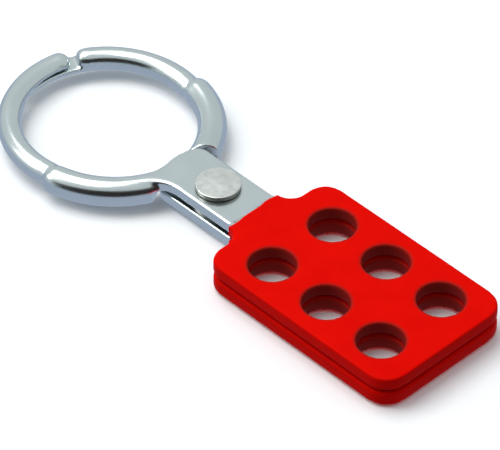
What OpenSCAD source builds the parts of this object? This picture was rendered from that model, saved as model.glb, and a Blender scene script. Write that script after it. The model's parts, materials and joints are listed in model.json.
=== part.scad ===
// Lockout hasp: two flat steel leaves cross at a rivet like a pair of tongs. In front of the rivet each
// leaf is formed into a round jaw rod, and the two rods close into one ring. Behind it the broad handle
// plates lie on each other, dipped in red vinyl, with matching rows of padlock holes through both.
// Both leaves are the same pressing: the lower one is the upper one turned over about the X axis.
// Millimetres. +X runs to the handles, +Z up, and the origin is under the middle of the whole hasp.

/* [Jaws] */
// Thickness of the round jaw rod
rod_d = 5.6; // [5.2:0.1:6]
// Radius of the rod's centre line
rod_arc = 23.1; // [22.8:0.1:23.4]
// Distance from the pivot to the middle of the jaw ring
rod_back = 36.9; // [36.6:0.1:37.4]
// How far a rod's arc is centred beyond the middle line
rod_across = 0.9; // [0.6:0.1:1.2]
// Thickness of the stouter root, between the plate and the step
root_d = 6.8; // [6.6:0.1:6.9]
// Radius of the root's centre line
root_arc = 24; // [23.8:0.05:24.2]
// Distance from the pivot to the centre of the root's arc
root_back = 35.15; // [35:0.05:35.5]
// How far a root's arc is centred beyond the middle line
root_across = 1.45; // [1.2:0.05:1.6]
// Angle round the ring at which the round part of the root begins
root_start = 12; // [10:1:14]
// Angle round the ring of the step from root to rod
step_at = 82.5; // [78:0.5:88]
// Angle round the ring at which the rod is halved to make its tongue
shoulder_at = 153; // [150:1:155]
// Angle round the ring at which the tongue's rounded tip ends
tongue_to = 195; // [193:2:195]
// Space between the flat faces of the two tongues
tongue_gap = 0.6; // [0.5:0.1:1]

/* [Leaves] */
// Thickness of the steel plate
plate_t = 2.8; // [2.6:0.1:2.9]
// Space between the two plates, held by the pivot washer
plate_gap = 1.4; // [1.3:0.1:1.6]
// Width of the neck that the rivet passes through
neck_w = 13.8; // [13:0.1:14.4]
// Radius of the rounded eye about the pivot
eye_r = 14.4; // [14.2:0.1:14.5]
// Space round the eye of the other leaf
eye_clearance = 0.35; // [0.3:0.05:0.4]
// Radius that rounds the eye's free corner
eye_corner = 3; // [2:0.5:4]

/* [Handles] */
// Distance from the pivot to the far end of the handle
handle_end = 72; // [70:1:75]
// Distance from the pivot to the coat's lip on the neck
lip_x = 11.1; // [11:0.1:11.5]
// Width of the neck over the coat
coat_neck_w = 15.4; // [15:0.1:15.6]
// Width of the handle over the coat
handle_w = 37.8; // [36.5:0.1:39]
// Thickness of the vinyl coat
coat_t = 0.35; // [0.3:0.05:0.4]
// Radius between the neck and the shoulder
shoulder_fillet = 4.2; // [4:0.1:4.4]
// Radius of the corner between shoulder and side
shoulder_corner = 4.8; // [4:0.1:6]
// Radius of the corners at the far end
end_corner = 5.6; // [4.5:0.1:7]

/* [Padlock holes] */
// Clear width of each padlock hole inside the coat
hole_d = 10.8; // [10:0.1:11.2]
// Distance from the pivot to the first pair of holes
hole_first = 27.05; // [26.5:0.05:27.5]
// Spacing of the holes along the handle
hole_pitch = 16.82; // [16.5:0.02:17]
// Spacing of the holes across the handle
hole_spread = 18.66; // [18:0.02:19]
// Number of holes in each row
holes_long = 3; // [2:1:3]

/* [Rivet] */
// Width of the rivet's head
head_d = 10.5; // [9.5:0.1:11]
// Height of the rivet's head above the plate
head_h = 1.45; // [1.3:0.05:1.6]
// Thickness of the rivet's shank
shank_d = 6; // [5.5:0.1:6.5]
// Width of the formed tail under the lower plate
tail_d = 9.4; // [8.8:0.1:10]
// Height of the formed tail
tail_h = 1; // [0.8:0.1:1.2]
// Width of the washer between the plates
washer_d = 12; // [10:0.5:13]
// Running clearance at the pivot
pivot_clearance = 0.05; // [0.03:0.01:0.08]

/* [Hidden] */
$fn = 96;

rod_r = rod_d / 2;
root_r = root_d / 2;
neck_half = neck_w / 2;
bore_r = shank_d / 2 + pivot_clearance;
hole_r = hole_d / 2;
// Lower and upper face of a plate, above the mid-plane between the leaves
plate_low = plate_gap / 2;
plate_top = plate_low + plate_t;
// Height of that mid-plane over the underside of the rivet, and the pivot's place along X
mid_z = tail_h + plate_top;
jaw_reach = rod_back + rod_arc + rod_r;
pivot_x = (jaw_reach - handle_end) / 2;
// Centres of the two arcs of the jaw that lies on the -Y side
rod_centre = [-rod_back, rod_across];
root_centre = [-root_back, root_across];
// Angle that the tip's rounding takes up at the tongue's end
tip_angle = asin(rod_r / rod_arc);
// Angle round the ring at which the plate has tapered out along the root's crest
crest_at = 38;
// Half the width of the blunt tip that it tapers to
crest_half = 0.5;
// Place along X where the neck's edge starts to swing out towards the root
swing_x = -5.4;
// How hard the eye's edges are drawn towards the ends of their sweeps
swing_pull = 4.8;
crest_pull = 4;
inner_pull = 3;
// Angle about the pivot at which the eye's edge leaves for the root's crest
eye_leave = 190;
// Heights in the rivet's head: recess under the rim, side of the rim, and rise of its cone
rim_recess = 0.2;
rim_top = 1;
rim_chamfer = 0.25;
dimple_r = 0.5;
dimple_depth = 0.15;
// Angle by which the rod reaches back into the root, so that the two are one piece
rod_lap = 6;
// How far a cutting solid runs past what it cuts, and a turned one past the tongue's end in degrees
past = 1;
past_angle = 4;
// Steps in the outline of a quarter corner, a short corner and a long sweep
corner_steps = 16;
short_steps = 8;
sweep_steps = 12;

function on_circle(centre, r, angle) = centre + r * [cos(angle), sin(angle)];
function arc_points(centre, r, from, to, steps = corner_steps) =
    [for (i = [0 : steps]) on_circle(centre, r, from + (to - from) * i / steps)];
function curve_points(a, b, c, d, steps = sweep_steps) =
    [for (i = [1 : steps]) let (t = i / steps, u = 1 - t)
        u * u * u * a + 3 * u * u * t * b + 3 * u * t * t * c + t * t * t * d];
function mirrored(points) = [for (i = [len(points) - 1 : -1 : 0]) [points[i][0], -points[i][1]]];

// One side of a handle's outline: neck, concave shoulder, convex corner, side and end corner
function handle_half(start, neck, shoulder, side, end, fillet, corner, last) = concat(
    [[start, neck]],
    arc_points([shoulder - fillet, neck + fillet], fillet, -90, 0),
    arc_points([shoulder + corner, side - corner], corner, 180, 90),
    arc_points([end - last, side - last], last, 90, 0));

module handle_outline(start, neck, inset, fillet_growth) {
    half = handle_half(start, neck, lip_x + shoulder_fillet + inset, handle_w / 2 - inset,
        handle_end - inset, shoulder_fillet + fillet_growth, shoulder_corner - inset,
        end_corner - inset);
    polygon(concat(half, mirrored(half)));
}

// Eye, neck and the pointed stretch that runs out along the crest of the root
module eye_outline() {
    corner_y = neck_half - eye_corner;
    corner_x = -sqrt(pow(eye_r - eye_corner, 2) - corner_y * corner_y);
    corner_angle = atan2(corner_y, corner_x);
    leave = on_circle([0, 0], eye_r, eye_leave);
    crest_inner = on_circle(root_centre, root_arc - crest_half, -crest_at);
    crest_outer = on_circle(root_centre, root_arc + crest_half, -crest_at);
    along = [sin(crest_at), cos(crest_at)];
    polygon(concat(
        [[lip_x, neck_half]],
        arc_points([corner_x, corner_y], eye_corner, 90, corner_angle, short_steps),
        arc_points([0, 0], eye_r, corner_angle, eye_leave, sweep_steps),
        curve_points(leave, leave + inner_pull * [-sin(eye_leave), cos(eye_leave)],
            crest_inner + crest_pull * along, crest_inner),
        [crest_outer],
        curve_points(crest_outer, crest_outer + crest_pull * along,
            [swing_x - swing_pull, -neck_half], [swing_x, -neck_half]),
        [[lip_x, -neck_half]]));
}

module each_hole() {
    for (i = [0 : holes_long - 1], side = [-1, 1])
        translate([hole_first + i * hole_pitch, side * hole_spread / 2]) children();
}

module plate() {
    translate([0, 0, plate_low]) linear_extrude(height = plate_t) {
        eye_outline();
        difference() {
            handle_outline(lip_x - past, neck_half, coat_t, (coat_neck_w - neck_w) / 2);
            each_hole() circle(r = hole_r + coat_t);
        }
    }
}

// A stretch of round bar bent about an arc, between two angles on the -Y side
module bent_bar(centre, arc, bar_r, from, to) {
    translate(centre) rotate([0, 0, -to]) rotate_extrude(angle = to - from)
        translate([arc, 0]) circle(r = bar_r);
}

// What is cut away under the tongue, from the shoulder to beyond the tip
module under_tongue() {
    cut_to = tongue_to + past_angle;
    translate(rod_centre) rotate([0, 0, -cut_to]) rotate_extrude(angle = cut_to - shoulder_at)
        translate([rod_arc - rod_d, -rod_d]) square([2 * rod_d, rod_d + tongue_gap / 2]);
}

module rod() {
    tip_at = tongue_to - tip_angle;
    difference() {
        union() {
            bent_bar(rod_centre, rod_arc, rod_r, step_at - rod_lap, tip_at);
            translate(concat(on_circle(rod_centre, rod_arc, -tip_at), 0)) sphere(r = rod_r);
        }
        under_tongue();
    }
}

module root() {
    difference() {
        union() {
            translate(concat(on_circle(root_centre, root_arc, -root_start), 0)) sphere(r = root_r);
            bent_bar(root_centre, root_arc, root_r, root_start, step_at);
        }
        translate([0, 0, -root_d]) cylinder(r = eye_r + eye_clearance, h = root_d + plate_low);
    }
}

module leaf() {
    difference() {
        union() {
            plate();
            root();
            rod();
        }
        translate([0, 0, plate_low - past]) cylinder(r = bore_r, h = plate_t + 2 * past);
    }
}

module coat() {
    difference() {
        translate([0, 0, plate_low - coat_t]) linear_extrude(height = plate_t + 2 * coat_t)
            handle_outline(lip_x, coat_neck_w / 2, 0, 0);
        plate();
        each_hole() cylinder(r = hole_r, h = plate_top + past);
    }
}

module at_pivot() {
    translate([pivot_x, 0, mid_z]) children();
}

module turned_over() {
    rotate([180, 0, 0]) children();
}

module upper_leaf() {
    color([0.70, 0.75, 0.76]) at_pivot() leaf();
}

module lower_leaf() {
    color([0.62, 0.67, 0.70]) at_pivot() turned_over() leaf();
}

module upper_coat() {
    color([0.89, 0.06, 0.02]) at_pivot() coat();
}

module lower_coat() {
    color([0.72, 0.05, 0.02]) at_pivot() turned_over() coat();
}

// Turned profile: formed tail, swaged lower shank, running upper shank, recessed rim and cone
module rivet() {
    head_r = head_d / 2;
    tail_r = tail_d / 2;
    rim_low = plate_top + pivot_clearance;
    head_top = plate_top + head_h;
    color([0.80, 0.81, 0.78]) at_pivot() rotate_extrude() polygon([
        [0, -mid_z],
        [tail_r - tail_h / 2, -mid_z],
        [tail_r, -plate_top - tail_h / 2],
        [tail_r, -plate_top],
        [bore_r, -plate_top],
        [bore_r, -plate_low],
        [shank_d / 2, -plate_low],
        [shank_d / 2, rim_low],
        [head_r - rim_recess, rim_low],
        [head_r - rim_recess, rim_low + rim_recess],
        [head_r, rim_low + rim_recess],
        [head_r, plate_top + rim_top],
        [head_r - rim_chamfer, plate_top + rim_top + rim_chamfer],
        [dimple_r, head_top],
        [0, head_top - dimple_depth]]);
}

module pivot_washer() {
    color([0.55, 0.58, 0.60]) at_pivot() translate([0, 0, -plate_low]) difference() {
        cylinder(d = washer_d, h = plate_gap - pivot_clearance);
        translate([0, 0, -past]) cylinder(r = bore_r, h = plate_gap + 2 * past);
    }
}

upper_leaf();
lower_leaf();
upper_coat();
lower_coat();
rivet();
pivot_washer();
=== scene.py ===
"""Looks of a steel lockout hasp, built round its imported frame.

Two plated steel leaves cross at a rivet. Each has a round jaw rod on one side of the rivet and a broad
handle plate, dipped in red vinyl, on the other. The lower leaf is the upper one turned over.
Every piece is made about the pivot, with the middle plane between the leaves at z = 0, and is then put
in its place in the frame. All lengths are metres.
"""

import json
import logging
import math
from contextlib import contextmanager
from dataclasses import dataclass
from enum import Enum
from typing import Callable, Iterator, Sequence

import bmesh
import bpy
from mathutils import Matrix, Vector

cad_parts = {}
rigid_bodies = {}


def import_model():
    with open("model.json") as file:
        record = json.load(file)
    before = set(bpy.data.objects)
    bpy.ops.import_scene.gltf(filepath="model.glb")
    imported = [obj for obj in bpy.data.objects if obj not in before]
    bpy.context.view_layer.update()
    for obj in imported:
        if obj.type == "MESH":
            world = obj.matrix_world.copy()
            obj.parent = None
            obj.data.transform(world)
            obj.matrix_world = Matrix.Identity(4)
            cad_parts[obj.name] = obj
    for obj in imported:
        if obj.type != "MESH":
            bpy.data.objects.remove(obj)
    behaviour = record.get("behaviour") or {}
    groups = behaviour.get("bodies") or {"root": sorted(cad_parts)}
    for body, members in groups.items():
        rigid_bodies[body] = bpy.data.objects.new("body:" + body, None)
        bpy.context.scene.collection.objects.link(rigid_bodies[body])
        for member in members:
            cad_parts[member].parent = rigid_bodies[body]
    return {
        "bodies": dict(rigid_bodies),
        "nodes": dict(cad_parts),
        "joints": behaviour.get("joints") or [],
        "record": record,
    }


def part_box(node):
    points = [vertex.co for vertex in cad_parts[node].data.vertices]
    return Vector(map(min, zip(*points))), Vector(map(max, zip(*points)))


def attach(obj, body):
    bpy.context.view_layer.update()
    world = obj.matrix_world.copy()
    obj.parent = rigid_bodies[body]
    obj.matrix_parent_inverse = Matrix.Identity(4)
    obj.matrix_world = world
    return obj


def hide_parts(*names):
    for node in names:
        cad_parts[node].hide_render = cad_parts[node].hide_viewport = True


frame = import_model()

MM = 0.001
# Points nearer than WELD are merged, and edges that bend by less than SMOOTH_BELOW are shaded smooth.
WELD = 0.002 * MM
SMOOTH_BELOW = math.radians(40)
log = logging.getLogger("lockout_hasp")

Point = tuple[float, float]
Span = tuple[float, float]
Ease = tuple[float, int]
Colour = tuple[float, float, float, float]


class Side(Enum):
    """Which of the two equal leaves a piece belongs to."""

    UPPER = "upper"
    LOWER = "lower"

    @property
    def body(self) -> str:
        """The CAD body that this side's pieces ride on."""
        return f"{self.value}_half"


# ---------------------------------------------------------------- working at the bench


def clear_selection() -> None:
    """Leaves edit mode and deselects every object."""
    if bpy.context.object is not None and bpy.context.object.mode != "OBJECT":
        bpy.ops.object.mode_set(mode="OBJECT")
    bpy.ops.object.select_all(action="DESELECT")
    bpy.context.view_layer.objects.active = None


def take_up(piece: bpy.types.Object) -> None:
    """Makes one piece the only selected and the active object.

    Args:
        piece: the piece to take up.
    """
    clear_selection()
    piece.select_set(True)
    bpy.context.view_layer.objects.active = piece


@contextmanager
def shaping(piece: bpy.types.Object) -> Iterator[bpy.types.Object]:
    """Opens a piece in edit mode with all of it selected, and closes it again.

    Args:
        piece: the piece to shape.

    Yields:
        The piece, while it is open.
    """
    take_up(piece)
    bpy.ops.object.mode_set(mode="EDIT")
    bpy.ops.mesh.select_all(action="SELECT")
    yield piece
    bpy.ops.object.mode_set(mode="OBJECT")


def pick_faces(piece: bpy.types.Object, wanted: Callable[[bmesh.types.BMFace], bool]) -> int:
    """Selects the faces of the piece in edit mode that a test accepts.

    Args:
        piece: the object that is open in edit mode.
        wanted: says whether a face is to be selected.

    Returns:
        How many faces were selected.
    """
    bpy.ops.mesh.select_mode(type="FACE")
    bpy.ops.mesh.select_all(action="DESELECT")
    mesh = bmesh.from_edit_mesh(piece.data)
    chosen = [face for face in mesh.faces if wanted(face)]
    for face in chosen:
        face.select_set(True)
    mesh.select_flush_mode()
    bmesh.update_edit_mesh(piece.data)
    return len(chosen)


def finish_modifier(piece: bpy.types.Object, kind: str, **settings: object) -> None:
    """Adds one modifier to a piece, sets it and applies it.

    Args:
        piece: the piece to change.
        kind: the modifier's type.
        settings: the modifier's own properties.
    """
    take_up(piece)
    modifier = piece.modifiers.new(kind.lower(), kind)
    for name, value in settings.items():
        setattr(modifier, name, value)
    bpy.ops.object.modifier_apply(modifier=modifier.name)


def carve(piece: bpy.types.Object, tool: bpy.types.Object) -> None:
    """Cuts a tool solid out of a piece and throws the tool away."""
    finish_modifier(piece, "BOOLEAN", object=tool, operation="DIFFERENCE", solver="EXACT")
    bpy.data.objects.remove(tool, do_unlink=True)


def soften(piece: bpy.types.Object, rounds: int, **settings: object) -> None:
    """Takes the edge off a piece's corners, by a number of smoothing rounds."""
    finish_modifier(piece, "SMOOTH", factor=0.5, iterations=rounds, **settings)


def fuse(piece: bpy.types.Object, voxel: float, rounds: int) -> None:
    """Makes one even skin of a piece's overlapping solids and softens it."""
    finish_modifier(piece, "REMESH", mode="VOXEL", voxel_size=voxel, use_smooth_shade=True)
    soften(piece, rounds)


def shade(piece: bpy.types.Object) -> None:
    """Shades a piece smooth, apart from its sharp edges."""
    take_up(piece)
    bpy.ops.object.shade_smooth_by_angle(angle=SMOOTH_BELOW)


def gather(pieces: Sequence[bpy.types.Object], name: str) -> bpy.types.Object:
    """Joins several solids into one object, without fusing them.

    Args:
        pieces: the solids; the first one's object takes in the others.
        name: the joined object's name.

    Returns:
        The joined object.
    """
    take_up(pieces[0])
    for piece in pieces:
        piece.select_set(True)
    bpy.ops.object.join()
    pieces[0].name = name
    pieces[0].data.name = name
    return pieces[0]


def twin(piece: bpy.types.Object, name: str) -> bpy.types.Object:
    """Copies a piece.

    Args:
        piece: the piece to copy.
        name: the copy's name.

    Returns:
        The copy, with a mesh of its own.
    """
    copy = piece.copy()
    copy.data = piece.data.copy()
    copy.name = name
    copy.data.name = name
    bpy.context.collection.objects.link(copy)
    return copy


def face_outwards(piece: bpy.types.Object) -> None:
    """Merges doubled points and turns every face outwards.

    Args:
        piece: the closed piece to put right.
    """
    with shaping(piece):
        bpy.ops.mesh.remove_doubles(threshold=WELD)
        bpy.ops.mesh.normals_make_consistent(inside=False)


def arc_points(centre: Point, radius: float, start: float, end: float, steps: int) -> list[Point]:
    """Points on an arc.

    Args:
        centre: the arc's centre.
        radius: its radius.
        start: the first point's angle, in degrees.
        end: the last point's angle, in degrees.
        steps: how many equal steps lie between them.

    Returns:
        The points from start to end, both included.
    """
    angles = [math.radians(start + (end - start) * i / steps) for i in range(steps + 1)]
    return [(centre[0] + radius * math.cos(a), centre[1] + radius * math.sin(a)) for a in angles]


def sweep_points(a: Point, b: Point, c: Point, d: Point, steps: int) -> list[Point]:
    """Points on a smooth curve.

    Args:
        a: where the curve starts.
        b: the point that its start is pulled towards.
        c: the point that its end comes from.
        d: where the curve ends.
        steps: how many points to give.

    Returns:
        The points after a, up to and with d.
    """
    points = []
    for i in range(1, steps + 1):
        t = i / steps
        u = 1 - t
        weights = (u**3, 3 * u * u * t, 3 * u * t * t, t**3)
        points.append(tuple(sum(w * p[k] for w, p in zip(weights, (a, b, c, d))) for k in (0, 1)))
    return points


def mirrored(points: Sequence[Point]) -> list[Point]:
    """The same outline on the other side of the middle line, in the order that closes it."""
    return [(x, -y) for x, y in reversed(points)]


def slab(name: str, outline: Sequence[Point], low: float, high: float) -> bpy.types.Object:
    """A flat plate with the given outline.

    Args:
        name: the new object's name.
        outline: the corners, in order round the plate.
        low: height of its lower face.
        high: height of its upper face.

    Returns:
        The closed plate.
    """
    clear_selection()
    bpy.ops.mesh.primitive_circle_add(vertices=len(outline), radius=MM, fill_type="NGON")
    plate = bpy.context.object
    plate.name = name
    for corner, (x, y) in zip(plate.data.vertices, outline):
        corner.co = (x, y, low)
    with shaping(plate):
        bpy.ops.mesh.extrude_region_move(TRANSFORM_OT_translate={"value": (0, 0, high - low)})
    face_outwards(plate)
    return plate


def peg(name: str, at: Point, radius: float, low: float, high: float, sides: int = 72) -> bpy.types.Object:
    """An upright round solid, used to drill with or as the start of a turned piece.

    Args:
        name: the new object's name.
        at: where its axis stands.
        radius: its radius.
        low: height of its lower face.
        high: height of its upper face.
        sides: how many flat sides stand for the round one.

    Returns:
        The closed solid.
    """
    clear_selection()
    bpy.ops.mesh.primitive_cylinder_add(
        vertices=sides, radius=radius, depth=high - low, location=(at[0], at[1], (low + high) / 2)
    )
    solid = bpy.context.object
    solid.name = name
    bpy.ops.object.transform_apply(location=True, rotation=True, scale=True)
    return solid


# ---------------------------------------------------------------- finishes


class Wiring:
    """A material's node tree, with short calls to add and join its nodes."""

    def __init__(self, name: str) -> None:
        """Starts a node material that holds one shader.

        Args:
            name: the material's name.
        """
        self.material = bpy.data.materials.new(name)
        self.material.use_nodes = True
        self.tree = self.material.node_tree
        self.shader = self.tree.nodes["Principled BSDF"]

    def add(self, kind: str, inputs: dict[str, object] | None = None, **settings: object) -> bpy.types.Node:
        """Adds a node.

        Args:
            kind: the node's type without its ShaderNode prefix.
            inputs: socket name to a value, or to an output socket to join on.
            settings: the node's own properties.

        Returns:
            The new node.
        """
        node = self.tree.nodes.new(f"ShaderNode{kind}")
        for name, value in settings.items():
            setattr(node, name, value)
        for name, value in (inputs or {}).items():
            if isinstance(value, bpy.types.NodeSocket):
                self.tree.links.new(value, node.inputs[name])
            else:
                node.inputs[name].default_value = value
        return node

    def feed(self, socket: str, source: bpy.types.NodeSocket) -> None:
        """Joins an output to one of the shader's inputs."""
        self.tree.links.new(source, self.shader.inputs[socket])

    def place_on_piece(self, centre_x: float = 0.0, stretch_x: float = 1.0) -> bpy.types.NodeSocket:
        """Places a pattern on the piece itself.

        Args:
            centre_x: where the pattern's centre lies along X.
            stretch_x: how many times longer the pattern is along X than across.

        Returns:
            The pattern's coordinates.
        """
        where = self.add("TexCoord")
        mapping = self.add(
            "Mapping",
            {
                "Vector": where.outputs["Object"],
                "Location": (centre_x, 0.0, 0.0),
                "Scale": (stretch_x, 1.0, 1.0),
            },
            vector_type="TEXTURE",
        )
        return mapping.outputs["Vector"]

    def noise(self, where: bpy.types.NodeSocket, size: float, detail: float = 3.0) -> bpy.types.NodeSocket:
        """Soft cloudy noise whose patches are about one size across."""
        node = self.add("TexNoise", {"Vector": where, "Scale": 1 / size, "Detail": detail})
        return node.outputs["Fac"]

    def spread(
        self,
        source: bpy.types.NodeSocket,
        low: float = 0.0,
        high: float = 1.0,
        start: float = 0.3,
        end: float = 0.7,
    ) -> bpy.types.NodeSocket:
        """Maps a part of a signal onto a new range.

        Args:
            source: the signal.
            low: what start becomes.
            high: what end becomes.
            start: the signal's value where the range begins.
            end: its value where the range ends.

        Returns:
            The new signal.
        """
        node = self.add(
            "MapRange",
            {"Value": source, "From Min": start, "From Max": end, "To Min": low, "To Max": high},
        )
        return node.outputs["Result"]

    def tint(self, source: bpy.types.NodeSocket, dark: Colour, light: Colour) -> bpy.types.NodeSocket:
        """Turns a signal into a colour.

        Args:
            source: the signal, from 0 to 1.
            dark: the colour at 0.
            light: the colour at 1.

        Returns:
            The colour.
        """
        node = self.add("ValToRGB", {"Fac": source})
        node.color_ramp.elements[0].color = dark
        node.color_ramp.elements[1].color = light
        return node.outputs["Color"]

    def blend(
        self,
        share: bpy.types.NodeSocket,
        first: Colour | bpy.types.NodeSocket,
        second: Colour | bpy.types.NodeSocket,
    ) -> bpy.types.NodeSocket:
        """Mixes two colours, each fixed or from a node.

        Args:
            share: the second colour's share, from 0 to 1.
            first: the first colour.
            second: the second colour.

        Returns:
            The mixed colour.
        """
        node = self.add("Mix", {"Factor": share}, data_type="RGBA")
        colour_inputs = [socket for socket in node.inputs if socket.type == "RGBA"]
        for socket, colour in zip(colour_inputs, (first, second)):
            if isinstance(colour, bpy.types.NodeSocket):
                self.tree.links.new(colour, socket)
            else:
                socket.default_value = colour
        return next(out for out in node.outputs if out.type == "RGBA")

    def relief(
        self, height: bpy.types.NodeSocket, depth: float, onto: bpy.types.NodeSocket | None = None
    ) -> bpy.types.NodeSocket:
        """Gives the surface a fine relief.

        Args:
            height: the relief's height, from 0 to 1.
            depth: how deep it is.
            onto: a relief that it lies on top of, if any.

        Returns:
            The surface's new normal.
        """
        inputs: dict[str, object] = {"Height": height, "Distance": depth, "Strength": 1.0}
        if onto is not None:
            inputs["Normal"] = onto
        return self.add("Bump", inputs).outputs["Normal"]


@dataclass(frozen=True)
class BrightZinc:
    """Bright zinc plating on pressed steel: bluish, smooth, with faint waves and fine rubbing marks."""

    name: str = "bright_zinc"
    light: Colour = (0.72, 0.775, 0.775, 1.0)
    dark: Colour = (0.67, 0.73, 0.735, 1.0)
    roughness: Span = (0.21, 0.24)
    patch: float = 9 * MM
    wave: float = 3.2 * MM
    wave_depth: float = 0.008 * MM
    rub: float = 0.5 * MM
    rub_stretch: float = 25 / 3
    rub_depth: float = 0.00005 * MM

    def build(self) -> bpy.types.Material:
        """Wires the finish up.

        Returns:
            The material.
        """
        wiring = Wiring(self.name)
        where = wiring.place_on_piece()
        along = wiring.place_on_piece(stretch_x=self.rub_stretch)
        patches = wiring.noise(where, self.patch)
        wiring.feed("Base Color", wiring.tint(wiring.spread(patches), self.dark, self.light))
        rub = wiring.noise(along, self.rub, detail=2.0)
        wiring.feed("Roughness", wiring.spread(rub, *self.roughness))
        waves = wiring.relief(wiring.noise(where, self.wave, detail=1.0), self.wave_depth)
        wiring.feed("Normal", wiring.relief(rub, self.rub_depth, waves))
        wiring.shader.inputs["Metallic"].default_value = 1.0
        return wiring.material


@dataclass(frozen=True)
class TurnedSteel:
    """Bare steel with fine rings about an upright axis, as a spun rivet head or a washer shows, with shade
    painted on its sides.

    The rings lie 2 pi times the ring size apart. A wave texture of scale 1 turns 20 radians in a metre.
    """

    name: str
    axis_x: float
    light: Colour = (0.80, 0.81, 0.77, 1.0)
    dark: Colour = (0.72, 0.73, 0.69, 1.0)
    roughness: Span = (0.26, 0.33)
    ring: float = 0.16 * MM
    ring_wander: float = 0.6
    ring_depth: float = 0.0005 * MM
    # Painted shade: faces that point less upwards take this dark side colour, on the rivet's and washer's
    # sides alike.
    side: Colour = (0.27, 0.27, 0.245, 1.0)
    side_shade_fade: Span = (0.25, 0.6)
    mottle: float = 1.6 * MM
    mottle_depth: float = 0.0002 * MM

    def build(self) -> bpy.types.Material:
        """Wires the finish up.

        Returns:
            The material.
        """
        wiring = Wiring(self.name)
        where = wiring.place_on_piece(self.axis_x)
        mottle = wiring.noise(where, self.mottle, detail=1.5)
        rings = wiring.add(
            "TexWave",
            {"Vector": where, "Scale": 1 / (20 * self.ring), "Distortion": self.ring_wander, "Detail": 0.0},
            wave_type="RINGS",
            rings_direction="Z",
        ).outputs["Fac"]
        # Painted shade: the mix turns from the top colour to the dark side colour as a face turns away from
        # upright.
        facing = wiring.add("SeparateXYZ", {"Vector": wiring.add("TexCoord").outputs["Normal"]})
        upright = wiring.spread(facing.outputs["Z"], 0.0, 1.0, *self.side_shade_fade)
        top_tone = wiring.tint(wiring.spread(mottle), self.dark, self.light)
        wiring.feed("Base Color", wiring.blend(upright, self.side, top_tone))
        wiring.feed("Roughness", wiring.spread(mottle, *self.roughness))
        mottled = wiring.relief(mottle, self.mottle_depth)
        wiring.feed("Normal", wiring.relief(rings, self.ring_depth, mottled))
        wiring.shader.inputs["Metallic"].default_value = 1.0
        return wiring.material


@dataclass(frozen=True)
class DippedVinyl:
    """Dip-moulded vinyl: deep even red with a soft shine and the slight unevenness of a dipped skin, and
    shade painted into its padlock holes.
    """

    name: str = "dipped_vinyl"
    light: Colour = (0.73, 0.0026, 0.0002, 1.0)
    dark: Colour = (0.67, 0.0020, 0.0001, 1.0)
    # Painted shade: the darker red that the padlock holes' walls and rims take on.
    hole_shade: Colour = (0.26, 0.014, 0.010, 1.0)
    roughness: Span = (0.37, 0.48)
    shine: float = 0.015
    patch: float = 6 * MM
    sag: float = 5 * MM
    sag_depth: float = 0.03 * MM
    grain: float = 0.35 * MM
    grain_depth: float = 0.004 * MM

    def build(self) -> bpy.types.Material:
        """Wires the finish up.

        Returns:
            The material.
        """
        wiring = Wiring(self.name)
        where = wiring.place_on_piece()
        patches = wiring.noise(where, self.patch)
        clean = wiring.tint(wiring.spread(patches), self.dark, self.light)
        # Painted shade in the padlock holes, mixed in by the share that the coat carries.
        hole_shade = wiring.add("Attribute", attribute_name="painted_hole_shade").outputs["Fac"]
        wiring.feed("Base Color", wiring.blend(hole_shade, clean, self.hole_shade))
        grain = wiring.noise(where, self.grain, detail=2.0)
        wiring.feed("Roughness", wiring.spread(patches, *self.roughness))
        sag = wiring.relief(wiring.noise(where, self.sag, detail=1.0), self.sag_depth)
        wiring.feed("Normal", wiring.relief(grain, self.grain_depth, sag))
        wiring.shader.inputs["Specular IOR Level"].default_value = self.shine
        return wiring.material


@dataclass(frozen=True)
class PlainMatt:
    """One even colour with next to no shine, for what only stands on the stage."""

    name: str
    colour: Colour
    roughness: float
    shine: float

    def build(self) -> bpy.types.Material:
        """Wires the finish up.

        Returns:
            The material.
        """
        wiring = Wiring(self.name)
        wiring.shader.inputs["Base Color"].default_value = self.colour
        wiring.shader.inputs["Roughness"].default_value = self.roughness
        wiring.shader.inputs["Specular IOR Level"].default_value = self.shine
        return wiring.material


def dress(piece: bpy.types.Object, material: bpy.types.Material) -> None:
    """Gives a whole piece one material."""
    piece.data.materials.clear()
    piece.data.materials.append(material)


# ---------------------------------------------------------------- what the frame says


@dataclass
class Hasp:
    """Places and sizes that the pieces share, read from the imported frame."""

    pivot: Vector
    plate_low: float
    plate_high: float
    coat: float
    handle_end: float
    handle_half: float
    lip: float
    holes: list[Point]
    hole_radius: float

    @classmethod
    def from_frame(cls, packed: dict) -> "Hasp":
        """Reads the pivot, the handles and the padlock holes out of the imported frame.

        Args:
            packed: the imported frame.

        Returns:
            The hasp's shared places and sizes.
        """
        pivot = Vector(packed["joints"][0]["pos_m"])
        coat_low, coat_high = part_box("upper_coat")
        leaf_low, leaf_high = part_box("upper_leaf")
        bores = [m for m in packed["record"]["mounts"] if m["kind"] == "bore"]
        return cls(
            pivot=pivot,
            plate_low=coat_low.z - pivot.z + (coat_high.z - leaf_high.z),
            plate_high=leaf_high.z - pivot.z,
            coat=coat_high.z - leaf_high.z,
            handle_end=coat_high.x - pivot.x,
            handle_half=coat_high.y,
            lip=coat_low.x - pivot.x,
            holes=[(m["pos_m"][0] - pivot.x, m["pos_m"][1]) for m in bores],
            hole_radius=bores[0]["dims"]["r_mm"] * MM,
        )

    def settle(self, piece: bpy.types.Object, side: Side) -> None:
        """Moves a piece's mesh from the pivot to its place in the frame.

        Args:
            piece: the piece, made about the pivot as one of the upper leaf's.
            side: the leaf it belongs to; the lower leaf's pieces are turned over.
        """
        turn = Matrix.Rotation(math.pi if side is Side.LOWER else 0.0, 4, "X")
        piece.data.transform(Matrix.Translation(self.pivot) @ turn)
        piece.data.update()


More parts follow.
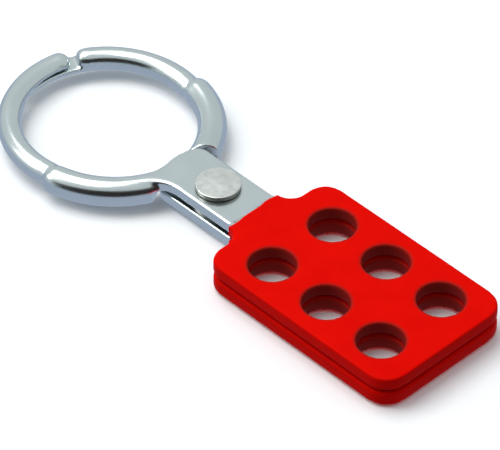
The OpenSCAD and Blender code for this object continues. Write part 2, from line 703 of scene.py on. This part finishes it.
@dataclass
class HandleShape:
    """The outline of a handle plate, at the size of the coat or drawn in to the steel inside it."""

    hasp: Hasp
    neck_half: float
    inset: float = 0.0
    coat_fillet: float = 4.2 * MM
    fillet: float = coat_fillet
    fillet_steps: int = 10
    corner: float = 4.8 * MM
    corner_steps: int = 14
    end_corner: float = 5.6 * MM
    end_steps: int = 16
    shortest: float = 0.05 * MM

    def half(self, start: float) -> list[Point]:
        """One side of the outline, on the +Y side.

        Args:
            start: where on the neck it starts.

        Returns:
            The points from the neck round to the far end's corner.
        """
        shoulder = self.hasp.lip + self.coat_fillet + self.inset
        side = self.hasp.handle_half - self.inset
        end = self.hasp.handle_end - self.inset
        fillet_at = (shoulder - self.fillet, self.neck_half + self.fillet)
        fillet = arc_points(fillet_at, self.fillet, -90, 0, self.fillet_steps)
        corner = self.corner - self.inset
        last = self.end_corner - self.inset
        return [
            *([(start, self.neck_half)] if start < fillet[0][0] - self.shortest else []),
            *fillet,
            *arc_points((shoulder + corner, side - corner), corner, 180, 90, self.corner_steps),
            *arc_points((end - last, side - last), last, 90, 0, self.end_steps),
        ]


# ---------------------------------------------------------------- the steel leaves


@dataclass
class Leaf:
    """One plated steel pressing: round jaw, eye, neck and the plate inside the coat.

    Angles round the ring are in degrees. They start on the handle's side and grow towards -Y. An ease is how
    far the softening of one place reaches, and how many rounds it takes.
    """

    hasp: Hasp
    rod_radius: float = 2.8 * MM
    rod_arc: float = 23.1 * MM
    rod_centre: Point = (-36.9 * MM, 0.9 * MM)
    root_radius: float = 3.4 * MM
    root_arc: float = 24.0 * MM
    root_centre: Point = (-35.15 * MM, 1.45 * MM)
    root_start: float = 12.0
    step_at: float = 82.5
    end_length: float = 2.6 * MM
    end_depth: float = 1.1 * MM
    rod_lap: float = 6.0
    shoulder_at: float = 153.0
    tongue_to: float = 198.5
    tongue_gap: float = 0.6 * MM
    mill_early: float = 2.0
    mill_past: float = 4.0
    mill_steps: int = 24
    bar_sides: int = 64
    neck_half: float = 6.9 * MM
    eye_radius: float = 14.4 * MM
    eye_clearance: float = 0.35 * MM
    eye_corner: float = 3.0 * MM
    eye_corner_steps: int = 8
    eye_steps: int = 24
    eye_room_sides: int = 190
    eye_leave: float = 190.0
    leave_pull: float = 3 * MM
    crest_at: float = 38.0
    crest_half: float = 0.5 * MM
    crest_pull: float = 4 * MM
    swing_at: float = -5.4 * MM
    swing_pull: float = 4.8 * MM
    swing_steps: int = 16
    bore_radius: float = 3.05 * MM
    coat_neck_half: float = 7.7 * MM
    seam: float = 13.2 * MM
    past: float = 1.0 * MM
    voxel: float = 0.28 * MM
    softening: int = 10
    crest_share: float = 0.6
    crest_ease: Ease = (9 * MM, 25)
    step_ease: Ease = (4.5 * MM, 14)
    shoulder_ease: Ease = (4.5 * MM, 10)

    def on_jaw(self, centre: Point, arc: float, angle: float) -> Point:
        """The point on a jaw's centre line at an angle round the ring, on the -Y side."""
        turn = math.radians(-angle)
        return (centre[0] + arc * math.cos(turn), centre[1] + arc * math.sin(turn))

    def bent_bar(
        self, name: str, centre: Point, arc: float, radius: float, start: float, end: float
    ) -> bpy.types.Object:
        """A round bar bent along an arc.

        Args:
            name: the new object's name.
            centre: centre of the arc.
            arc: radius of the arc.
            radius: radius of the bar.
            start: angle round the ring where the bar starts, in degrees.
            end: angle round the ring where it ends.

        Returns:
            The closed bar.
        """
        x, y = self.on_jaw(centre, arc, start)
        clear_selection()
        bpy.ops.mesh.primitive_circle_add(
            vertices=self.bar_sides,
            radius=radius,
            fill_type="NGON",
            location=(x, y, 0),
            rotation=(math.pi / 2, 0, math.radians(-start)),
        )
        bar = bpy.context.object
        bar.name = name
        bpy.ops.object.transform_apply(location=True, rotation=True, scale=True)
        with shaping(bar):
            bpy.ops.mesh.spin(
                steps=int(end - start),
                angle=math.radians(end - start),
                center=(centre[0], centre[1], 0),
                axis=(0, 0, 1),
            )
        face_outwards(bar)
        return bar

    def round_end(self, bar: bpy.types.Object, centre: Point, arc: float, end: float) -> None:
        """Rounds a bent bar's free end.

        Args:
            bar: the stouter bar up to the step, or the thinner one up to the shoulder.
            centre: centre of its arc.
            arc: radius of its arc.
            end: angle round the ring where it ends.
        """
        for vertex in bar.data.vertices:
            angle = -math.degrees(math.atan2(vertex.co.y - centre[1], vertex.co.x - centre[0]))
            left = math.radians((end - angle) % 360) * arc
            just_beyond_the_end = left > math.pi * arc
            if just_beyond_the_end:
                left = 0.0
            if left < self.end_length:
                along = 1 - left / self.end_length
                inset = self.end_depth * (1 - math.sqrt(max(0.0, 1 - along**2)))
                middle = Vector((*self.on_jaw(centre, arc, angle), 0))
                out = vertex.co - middle
                if out.length > inset:
                    vertex.co = middle + out * (1 - inset / out.length)

    def ball(self, name: str, at: Point, radius: float) -> bpy.types.Object:
        """A ball that rounds the end of a bar.

        Args:
            name: the new object's name.
            at: the ball's centre.
            radius: its radius.

        Returns:
            The ball.
        """
        clear_selection()
        bpy.ops.mesh.primitive_uv_sphere_add(
            segments=self.bar_sides, ring_count=self.bar_sides // 2, radius=radius, location=(*at, 0)
        )
        bpy.context.object.name = name
        bpy.ops.object.transform_apply(location=True, rotation=True, scale=True)
        return bpy.context.object

    def make_rod(self) -> list[bpy.types.Object]:
        """The thinner bar and its domed tip, halved beyond the shoulder to leave the tongue.

        Returns:
            The whole bar, the tongue and its tip.
        """
        tip_angle = math.degrees(math.asin(self.rod_radius / self.rod_arc))
        tip_at = self.tongue_to - tip_angle
        bar_from = self.step_at - self.rod_lap
        tongue_from = self.shoulder_at - self.rod_lap
        bend = (self.rod_centre, self.rod_arc, self.rod_radius)
        bar = self.bent_bar("rod", *bend, bar_from, self.shoulder_at)
        self.round_end(bar, self.rod_centre, self.rod_arc, self.shoulder_at)
        tongue = [
            self.bent_bar("tongue", *bend, tongue_from, tip_at),
            self.ball("tip", self.on_jaw(self.rod_centre, self.rod_arc, tip_at), self.rod_radius),
        ]
        for solid in tongue:
            carve(solid, self.under_tongue())
        return [bar, *tongue]

    def under_tongue(self) -> bpy.types.Object:
        """What is milled away below the tongue.

        Returns:
            A bent slab, from inside the shoulder to beyond the tip.
        """
        start = -self.shoulder_at + self.rod_lap + self.mill_early
        end = -self.tongue_to - self.mill_past
        inner = self.rod_arc - 2 * self.rod_radius
        outer = self.rod_arc + 2 * self.rod_radius
        outline = [
            *arc_points(self.rod_centre, outer, start, end, self.mill_steps),
            *arc_points(self.rod_centre, inner, end, start, self.mill_steps),
        ]
        return slab("under_tongue", outline, -2 * self.rod_radius, self.tongue_gap / 2)

    def make_root(self) -> list[bpy.types.Object]:
        """The stouter bar next to the plate, with room below for the other leaf's eye.

        Returns:
            The bar and the ball that rounds its end in the plate.
        """
        bend = (self.root_centre, self.root_arc, self.root_radius)
        bar = self.bent_bar("root", *bend, self.root_start, self.step_at)
        start = self.on_jaw(self.root_centre, self.root_arc, self.root_start)
        solids = [bar, self.ball("root_end", start, self.root_radius)]
        self.round_end(bar, self.root_centre, self.root_arc, self.step_at)
        room = self.eye_radius + self.eye_clearance
        bottom = -2 * self.root_radius
        for solid in solids:
            carve(solid, peg("eye_room", (0, 0), room, bottom, self.hasp.plate_low, self.eye_room_sides))
        return solids

    def make_eye(self) -> bpy.types.Object:
        """The flat eye and neck, with the pointed stretch that runs out along the root's crest.

        Returns:
            The plate, with the rivet's bore.
        """
        corner_y = self.neck_half - self.eye_corner
        corner_x = -math.sqrt((self.eye_radius - self.eye_corner) ** 2 - corner_y**2)
        corner_angle = math.degrees(math.atan2(corner_y, corner_x))
        leave = arc_points((0, 0), self.eye_radius, self.eye_leave, self.eye_leave, 1)[0]
        turn = math.radians(self.eye_leave)
        inner = self.on_jaw(self.root_centre, self.root_arc - self.crest_half, self.crest_at)
        outer = self.on_jaw(self.root_centre, self.root_arc + self.crest_half, self.crest_at)
        along = (math.sin(math.radians(self.crest_at)), math.cos(math.radians(self.crest_at)))
        swing = (self.swing_at, -self.neck_half)
        outline = [
            (self.seam, self.neck_half),
            *arc_points((corner_x, corner_y), self.eye_corner, 90, corner_angle, self.eye_corner_steps),
            *arc_points((0, 0), self.eye_radius, corner_angle, self.eye_leave, self.eye_steps)[1:],
            *sweep_points(
                leave,
                (leave[0] - self.leave_pull * math.sin(turn), leave[1] + self.leave_pull * math.cos(turn)),
                (inner[0] + self.crest_pull * along[0], inner[1] + self.crest_pull * along[1]),
                inner,
                self.swing_steps,
            ),
            outer,
            *sweep_points(
                outer,
                (outer[0] + self.crest_pull * along[0], outer[1] + self.crest_pull * along[1]),
                (swing[0] - self.swing_pull, swing[1]),
                swing,
                self.swing_steps,
            ),
            (self.seam, -self.neck_half),
        ]
        plate = slab("eye", outline, self.hasp.plate_low, self.hasp.plate_high)
        carve(plate, peg("bore", (0, 0), self.bore_radius, 0, self.hasp.plate_high + self.past))
        return plate

    def make_core(self, start: float) -> bpy.types.Object:
        """The plate inside the coat, with its drilled holes.

        Args:
            start: where on the neck it starts.

        Returns:
            The closed plate, from there to its far end.
        """
        fillet = HandleShape.coat_fillet + self.coat_neck_half - self.neck_half
        half = HandleShape(self.hasp, self.neck_half, self.hasp.coat, fillet=fillet).half(start)
        core = slab("core", [*half, *mirrored(half)], self.hasp.plate_low, self.hasp.plate_high)
        radius = self.hasp.hole_radius + self.hasp.coat
        for at in self.hasp.holes:
            carve(core, peg("drill", at, radius, 0, self.hasp.plate_high + self.past))
        return core

    def build(self) -> bpy.types.Object:
        """Makes the upper leaf, still about the pivot.

        Its jaw, eye and neck are fused, and eased as forging eases them. The plate inside the coat is added.

        Returns:
            The leaf.
        """
        front = gather([self.make_eye(), *self.make_root(), *self.make_rod()], "leaf_steel")
        fuse(front, self.voxel, self.softening)
        crest = self.on_jaw(self.root_centre, self.root_arc, self.crest_share * self.crest_at)
        step = self.on_jaw(self.root_centre, self.root_arc, self.step_at)
        shoulder = self.on_jaw(self.rod_centre, self.rod_arc, self.shoulder_at)
        self.ease(front, crest, *self.crest_ease)
        self.ease(front, step, *self.step_ease)
        self.ease(front, shoulder, *self.shoulder_ease)
        leaf = gather([front, self.make_core(self.seam - self.past)], "leaf_steel")
        shade(leaf)
        return leaf

    def ease(self, front: bpy.types.Object, at: Point, reach: float, rounds: int) -> None:
        """Softens the steel round one place on the jaw, down to the other leaf's plate.

        Args:
            front: the fused jaw, eye and neck.
            at: the place to soften.
            reach: how far from it the softening fades out.
            rounds: how many times the surface is smoothed there.
        """
        group = front.vertex_groups.new(name="eased")
        for vertex in front.data.vertices:
            away = math.hypot(vertex.co.x - at[0], vertex.co.y - at[1])
            if away < reach and vertex.co.z > -self.hasp.plate_low:
                group.add([vertex.index], min(1.0, 2 * (1 - away / reach)), "REPLACE")
        soften(front, rounds, vertex_group=group.name)
        front.vertex_groups.clear()


# ---------------------------------------------------------------- the vinyl coats


@dataclass
class Coat:
    """The red skin that a handle plate gets in the dip: soft at every edge, open at its lip.

    Each swell of the lip is how far its wave turns across the neck and where the wave starts, in radians,
    and its share of the lip's wave.
    """

    hasp: Hasp
    leaf: Leaf
    voxel: float = 0.32 * MM
    softening: int = 20
    lip_wave: float = 0.2 * MM
    lip_swells: tuple[tuple[float, float, float], ...] = ((5.1, 0.6, 1.0), (13.7, 0.0, 0.6))
    lip_steps: int = 36
    # How far round a hole the painted shade fades out.
    hole_shade_fade: float = 0.9 * MM

    def outline(self) -> list[Point]:
        """The coat's outline with its slightly wavy lip.

        Returns:
            The points, in order round the coat.
        """
        half = HandleShape(self.hasp, self.leaf.coat_neck_half).half(self.hasp.lip)
        first = half[0]
        lip = []
        for i in range(1, self.lip_steps):
            y = -first[1] + 2 * first[1] * i / self.lip_steps
            swells = [
                share * math.sin(turn * i / self.lip_steps + start) for turn, start, share in self.lip_swells
            ]
            lip.append((self.hasp.lip + self.lip_wave * sum(swells), y))
        return [*half, *mirrored(half), *lip]

    def painted_hole_shade(self, coat: bpy.types.Object) -> None:
        """Paints shade into the padlock holes, as an attribute that is 1 in the holes and fades out round
        them.

        Args:
            coat: the coat to mark.
        """
        marks = coat.data.attributes.new("painted_hole_shade", "FLOAT", "POINT")
        for i, vertex in enumerate(coat.data.vertices):
            at = vertex.co.xy
            edge = min((at - Vector(hole)).length for hole in self.hasp.holes) - self.hasp.hole_radius
            marks.data[i].value = min(1.0, max(0.0, 1 - edge / self.hole_shade_fade))

    def build(self) -> bpy.types.Object:
        """Makes the upper coat, still about the pivot.

        Returns:
            The coat, a soft-edged skin with the plate's room inside.
        """
        past = self.leaf.past
        low = self.hasp.plate_low - self.hasp.coat
        high = self.hasp.plate_high + self.hasp.coat
        coat = slab("coat_vinyl", self.outline(), low, high)
        for at in self.hasp.holes:
            carve(coat, peg("drill", at, self.hasp.hole_radius, low - past, high + past))
        fuse(coat, self.voxel, self.softening)
        carve(coat, self.leaf.make_core(self.hasp.lip - past))
        # Painted shade in and round the padlock holes.
        self.painted_hole_shade(coat)
        shade(coat)
        return coat


# ---------------------------------------------------------------- the pivot


@dataclass
class Rivet:
    """The pivot rivet: a low turned cone of a head over a recessed rim, a shank and a formed tail."""

    hasp: Hasp
    clearance: float = 0.05 * MM
    shank: float = 3.0 * MM
    tail_radius: float = 4.7 * MM
    rim_recess: float = 0.2 * MM
    rim_high: float = 1.18 * MM
    rim_chamfer: float = 0.12 * MM
    dimple: float = 0.5 * MM
    dimple_floor: float = 0.125 * MM
    dimple_depth: float = 0.02 * MM
    sides: int = 128
    flat_above: float = 0.9
    bevel: float = 0.05 * MM
    bevel_steps: int = 3
    bevel_above: float = 24.0

    def step(self, piece: bpy.types.Object, up: bool, radius: float, height: float) -> None:
        """Draws the top or bottom face on to a new radius and height.

        Args:
            piece: the rivet, open in edit mode.
            up: whether it is the top face; if not, it is the bottom one.
            radius: radius of the new face.
            height: height of the new face above the middle plane.
        """
        mesh = bmesh.from_edit_mesh(piece.data)
        mesh.faces.ensure_lookup_table()
        way = 1 if up else -1
        flat = [face for face in mesh.faces if way * face.normal.z > self.flat_above]
        end = max(flat, key=lambda face: way * face.calc_center_median().z)
        now = end.calc_center_median().z
        width = (end.verts[0].co.xy).length
        pick = end.index
        pick_faces(piece, lambda face: face.index == pick)
        bpy.ops.mesh.extrude_region_move(TRANSFORM_OT_translate={"value": (0, 0, height - now)})
        ratio = radius / width
        bpy.ops.transform.resize(value=(ratio, ratio, 1), center_override=(0, 0, height))

    def build(self) -> bpy.types.Object:
        """Turns the rivet.

        Returns:
            The rivet, in its place in the frame.
        """
        low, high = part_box("rivet")
        head_radius = (high.x - low.x) / 2
        top = high.z - self.hasp.pivot.z
        bottom = low.z - self.hasp.pivot.z
        plate_high = self.hasp.plate_high
        rim_low = plate_high + self.clearance
        rim_top = plate_high + self.rim_high
        rivet = peg("pivot_rivet", (0, 0), head_radius, rim_low + self.rim_recess, rim_top, self.sides)
        upwards = [
            (head_radius - self.rim_chamfer, rim_top + self.rim_chamfer),
            (self.dimple, top),
            (self.dimple_floor, top - self.dimple_depth),
        ]
        tail_top = -plate_high
        tail_half = (tail_top + bottom) / 2
        downwards = [
            (head_radius - self.rim_recess, rim_low + self.rim_recess),
            (head_radius - self.rim_recess, rim_low),
            (self.shank, rim_low),
            (self.shank, tail_top),
            (self.tail_radius, tail_top),
            (self.tail_radius, tail_half),
            (self.tail_radius + bottom - tail_half, bottom),
        ]
        with shaping(rivet):
            for radius, height in upwards:
                self.step(rivet, True, radius, height)
            for radius, height in downwards:
                self.step(rivet, False, radius, height)
        face_outwards(rivet)
        finish_modifier(
            rivet,
            "BEVEL",
            width=self.bevel,
            segments=self.bevel_steps,
            limit_method="ANGLE",
            angle_limit=math.radians(self.bevel_above),
            harden_normals=True,
        )
        self.hasp.settle(rivet, Side.UPPER)
        return rivet


# ---------------------------------------------------------------- studio


@dataclass(frozen=True)
class Lamp:
    """A soft rectangular white light beyond the hasp: its place, as Studio.beyond takes it, and its size."""

    name: str
    elevation: float
    distance: float
    left: float
    size: Point
    power: float


@dataclass
class Studio:
    """Pale floor, soft lights and the camera."""

    hasp: Hasp
    azimuth: float = 46.0
    elevation: float = 42.2
    distance: float = 1.0
    lens: float = 318.8
    shift_right: float = 7.16 * MM
    shift_up: float = -3.02 * MM
    base: float = 0.5 * MM
    clip: Span = (0.01, 10.0)
    floor_size: float = 3.0
    floor_finish: PlainMatt = PlainMatt("pale_floor", (0.97, 0.98, 0.99, 1.0), 0.9, 0.1)
    above: tuple[float, float, float] = (0.60, 0.645, 0.66)
    below: tuple[float, float, float] = (0.42, 0.48, 0.60)
    horizon: float = 0.08
    flag_rise: float = 22.0
    flag_distance: float = 1.5
    flag_size: Point = (4.2, 1.3)
    flag_finish: PlainMatt = PlainMatt("matt_dark_board", (0.035, 0.024, 0.02, 1.0), 1.0, 0.0)
    lamps: tuple[Lamp, ...] = (
        Lamp("sky_panel", 68, 1.0, 55, (0.68, 0.68), 6.0),
        Lamp("left_panel", 38, 1.1, 88, (0.5, 0.6), 2.4),
    )

    def floor(self) -> None:
        """Lays the pale floor under the hasp, where it colours neither the steel nor the vinyl."""
        clear_selection()
        bpy.ops.mesh.primitive_plane_add(size=self.floor_size, location=(0, 0, 0))
        floor = bpy.context.object
        floor.name = "floor"
        dress(floor, self.floor_finish.build())
        floor.visible_glossy = False
        floor.visible_diffuse = False

    def beyond(self, elevation: float, distance: float, left: float = 0.0) -> Vector:
        """A place on the far side of the hasp from the camera.

        Args:
            elevation: its height over the floor, in degrees.
            distance: how far it is from the hasp.
            left: how far round to the camera's left it lies, in degrees.

        Returns:
            The place.
        """
        away, rise = math.radians(self.azimuth + left), math.radians(elevation)
        return distance * Vector(
            (-math.sin(away) * math.cos(rise), math.cos(away) * math.cos(rise), math.sin(rise))
        )

    def hang(self, lamp: Lamp) -> None:
        """Hangs one light so that it faces the hasp.

        Args:
            lamp: the light to hang.
        """
        at = self.beyond(lamp.elevation, lamp.distance, lamp.left)
        clear_selection()
        bpy.ops.object.light_add(type="AREA", location=at)
        light = bpy.context.object
        light.name = lamp.name
        light.data.shape = "RECTANGLE"
        light.data.size, light.data.size_y = lamp.size
        light.data.energy = lamp.power
        light.rotation_euler = (-at).to_track_quat("-Z", "Y").to_euler()

    def dark_flag(self) -> None:
        """Stands a wide matt dark board low on the camera's side, so that near sides fall into shade."""
        at = self.beyond(self.flag_rise, self.flag_distance, 180)
        facing = at.to_track_quat("Z", "Y").to_euler()
        clear_selection()
        bpy.ops.mesh.primitive_plane_add(size=1.0, location=at, rotation=facing)
        flag = bpy.context.object
        flag.name = "dark_flag"
        bpy.ops.transform.resize(value=(*self.flag_size, 1.0), orient_type="LOCAL")
        bpy.ops.object.transform_apply(location=True, rotation=True, scale=True)
        dress(flag, self.flag_finish.build())
        flag.visible_camera = False

    def surroundings(self) -> None:
        """Puts a pale room round the stage, bluer and dimmer from below."""
        world = bpy.data.worlds.new("room")
        world.use_nodes = True
        nodes, links = world.node_tree.nodes, world.node_tree.links
        where = nodes.new("ShaderNodeTexCoord")
        height = nodes.new("ShaderNodeSeparateXYZ")
        fade = nodes.new("ShaderNodeValToRGB")
        fade.color_ramp.elements[0].position = 0.0
        fade.color_ramp.elements[0].color = (*self.below, 1.0)
        fade.color_ramp.elements[1].position = self.horizon
        fade.color_ramp.elements[1].color = (*self.above, 1.0)
        links.new(where.outputs["Object"], height.inputs["Vector"])
        links.new(height.outputs["Z"], fade.inputs["Fac"])
        links.new(fade.outputs["Color"], nodes["Background"].inputs["Color"])
        bpy.context.scene.world = world

    def camera(self) -> None:
        """Sets up the long-lens camera that looks down on the hasp from beside its handles."""
        azimuth, elevation = math.radians(self.azimuth), math.radians(self.elevation)
        back = Vector(
            (
                math.sin(azimuth) * math.cos(elevation),
                -math.cos(azimuth) * math.cos(elevation),
                math.sin(elevation),
            )
        )
        right = Vector((math.cos(azimuth), math.sin(azimuth), 0))
        up = back.cross(right)
        target = Vector((self.hasp.pivot.x, 0, self.base))
        clear_selection()
        bpy.ops.object.camera_add()
        camera = bpy.context.object
        camera.name = "camera"
        camera.data.lens = self.lens
        camera.data.clip_start, camera.data.clip_end = self.clip
        camera.rotation_mode = "QUATERNION"
        camera.rotation_quaternion = (-back).to_track_quat("-Z", "Y")
        camera.location = target + back * self.distance + right * self.shift_right + up * self.shift_up
        bpy.context.scene.camera = camera

    def build(self) -> None:
        """Sets the whole stage."""
        bpy.context.scene.view_settings.view_transform = "Standard"
        self.floor()
        self.surroundings()
        for lamp in self.lamps:
            self.hang(lamp)
        self.dark_flag()
        self.camera()


# ---------------------------------------------------------------- assembly


def main() -> None:
    """Builds every piece in order, dresses it and hands it to its body."""
    logging.basicConfig(level=logging.INFO, format="%(name)s: %(message)s")
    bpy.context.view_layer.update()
    hasp = Hasp.from_frame(frame)
    Studio(hasp).build()

    zinc = BrightZinc().build()
    vinyl = DippedVinyl().build()
    head_steel = TurnedSteel("spun_steel", hasp.pivot.x).build()
    washer_steel = TurnedSteel(
        "washer_steel", hasp.pivot.x, light=(0.45, 0.46, 0.47, 1.0), dark=(0.30, 0.31, 0.32, 1.0)
    ).build()

    leaf = Leaf(hasp)
    steel = leaf.build()
    dress(steel, zinc)
    skin = Coat(hasp, leaf).build()
    dress(skin, vinyl)
    for side in Side:
        for made, node, slot in ((steel, "leaf", "plated_steel"), (skin, "coat", "red_vinyl")):
            piece = twin(made, f"{side.value}_{made.name}")
            hasp.settle(piece, side)
            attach(piece, side.body)
            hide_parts(f"{side.value}_{node}")
            log.info("%s: %d faces", piece.name, len(piece.data.polygons))
    for made in (steel, skin):
        bpy.data.objects.remove(made, do_unlink=True)

    rivet = Rivet(hasp).build()
    dress(rivet, head_steel)
    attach(rivet, Side.LOWER.body)
    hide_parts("rivet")
    log.info("%s: %d faces", rivet.name, len(rivet.data.polygons))

    dress(frame["nodes"]["pivot_washer"], washer_steel)
    log.info("pivot_washer keeps its frame shape")


if __name__ == "__main__":
    main()
